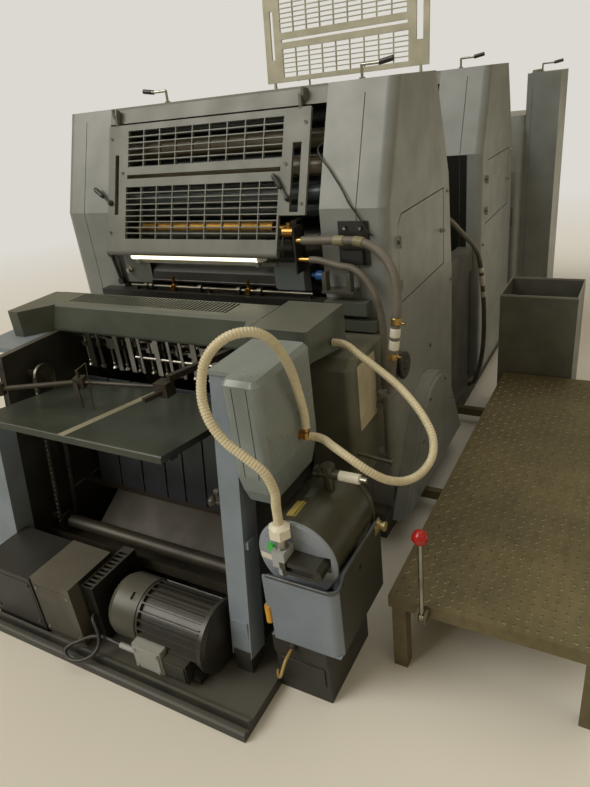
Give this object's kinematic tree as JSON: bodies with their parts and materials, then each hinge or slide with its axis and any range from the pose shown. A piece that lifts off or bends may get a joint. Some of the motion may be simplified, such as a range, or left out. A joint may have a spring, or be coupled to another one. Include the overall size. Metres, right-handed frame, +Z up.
{
  "type": "offset printing press",
  "caption": "Two-colour sheet-fed offset printing press with pile feeder, grid finger guards, air pump, footboard and delivery end",
  "frame": {"origin": "on the floor, on the press's middle line, below the front face of the first printing unit's side covers", "axes": "+X to the drive side with the footboard, +Y along the paper path from the feeder to the delivery, +Z up"},
  "size_m": [2.272, 4.3669, 2.2433],
  "materials": {
    "cover_enamel": "satin",
    "header_enamel": "satin",
    "cast_grey": "satin",
    "dark_green": "satin",
    "black_paint": "satin",
    "steel": "brushed",
    "copper": "satin",
    "roller_rubber": "satin",
    "lamp_white": "satin",
    "checker_plate": "worn",
    "cream_hose": "satin",
    "grey_hose": "satin",
    "black_cable": "satin"
  },
  "bodies": {
    "press_frame": {"base_frame": "cast_grey", "feeder_tray": "header_enamel", "unit1_left_cover": "cover_enamel", "unit1_right_cover": "cover_enamel", "unit2_left_cover": "cover_enamel", "unit2_right_cover": "cover_enamel", "headers": "header_enamel", "ink_rollers": "roller_rubber", "print_cylinders": "cast_grey", "mouth_plates": "header_enamel", "front_panels": "black_paint", "work_lamp": "lamp_white", "infeed_shaft": "steel", "register_table": "cast_grey", "top_handles": "black_paint", "hose_bracket": "black_paint", "left_column": "cover_enamel", "right_column": "header_enamel", "side_plates": "cast_grey", "hoist_shafts": "steel", "pile_stops": "steel", "lift_chains": "steel", "suction_hood": "dark_green", "sucker_head": "steel", "side_guides": "steel", "gearbox": "cover_enamel", "side_box": "cover_enamel", "hose_pipe": "cast_grey", "drive_motor": "cast_grey", "motor_cowl": "cast_grey", "electrical_boxes": "cast_grey", "end_cabinet": "black_paint", "air_pump": "dark_green", "pump_tray": "steel", "footboard": "checker_plate", "step_bin": "checker_plate", "belt_guard": "cover_enamel", "delivery_frames": "cover_enamel", "delivery_board": "dark_green", "delivery_hood": "header_enamel", "delivery_cabinet": "cover_enamel", "pressure_hose": "cream_hose", "return_hose": "cream_hose", "grey_hose_long": "grey_hose", "grey_hose_short": "grey_hose", "gap_hose": "grey_hose", "motor_conduit": "black_cable", "drain_hose": "cream_hose", "lamp_cable": "black_cable", "cover_cable": "black_cable"},
    "front_guard": {"front_guard": "header_enamel"},
    "lever_left": {"front_lever_left": "black_paint"},
    "lever_right": {"front_lever_right": "black_paint"},
    "rear_guard": {"rear_guard": "header_enamel"},
    "door_one": {"unit1_side_door": "cover_enamel"},
    "door_two": {"unit2_side_door": "cover_enamel"},
    "pile_board": {"pile_board": "dark_green"},
    "hand_crank": {"hand_crank": "black_paint"},
    "copper_roller": {"copper_roller": "copper"},
    "foot_lever": {"foot_lever": "steel"}
  },
  "joints": [
    {"name": "front_guard_hinge", "type": "hinge", "parent": "press_frame", "child": "front_guard", "pos_m": [-0.022, 0.125, 1.685], "axis": [-1, 0, 0], "range_deg": [0, 165]},
    {"name": "lever_left_pivot", "type": "hinge", "parent": "front_guard", "child": "lever_left", "pos_m": [-0.468, 0.00777, 1.35414], "axis": [0, -0.9397, 0.342], "range_deg": [-35, 35]},
    {"name": "lever_right_pivot", "type": "hinge", "parent": "front_guard", "child": "lever_right", "pos_m": [0.369, 0.00777, 1.35414], "axis": [0, -0.9397, 0.342], "range_deg": [-35, 35]},
    {"name": "rear_guard_hinge", "type": "hinge", "parent": "press_frame", "child": "rear_guard", "pos_m": [-0.022, 1.432, 1.685], "axis": [1, 0, 0], "range_deg": [0, 165]},
    {"name": "door_one_hinge", "type": "hinge", "parent": "press_frame", "child": "door_one", "pos_m": [0.745, 0.096, 1.115], "axis": [0, 0, -1], "range_deg": [0, 100]},
    {"name": "door_two_hinge", "type": "hinge", "parent": "press_frame", "child": "door_two", "pos_m": [0.745, 1.403, 1.115], "axis": [0, 0, -1], "range_deg": [0, 100]},
    {"name": "pile_lift", "type": "slide", "parent": "press_frame", "child": "pile_board", "axis": [0, 0.1444, 0.9895], "range_m": [-0.43, 0]},
    {"name": "crank_turn", "type": "hinge", "parent": "press_frame", "child": "hand_crank", "pos_m": [0.478, -0.783, 0.665], "axis": [1, 0, 0], "continuous": true},
    {"name": "copper_roller_turn", "type": "hinge", "parent": "press_frame", "child": "copper_roller", "pos_m": [-0.08, 0.1, 1.23], "axis": [1, 0, 0], "continuous": true},
    {"name": "foot_lever_pivot", "type": "hinge", "parent": "press_frame", "child": "foot_lever", "pos_m": [1.046, -0.66, 0.274], "axis": [1, 0, 0], "range_deg": [-15, 15]}
  ]
}
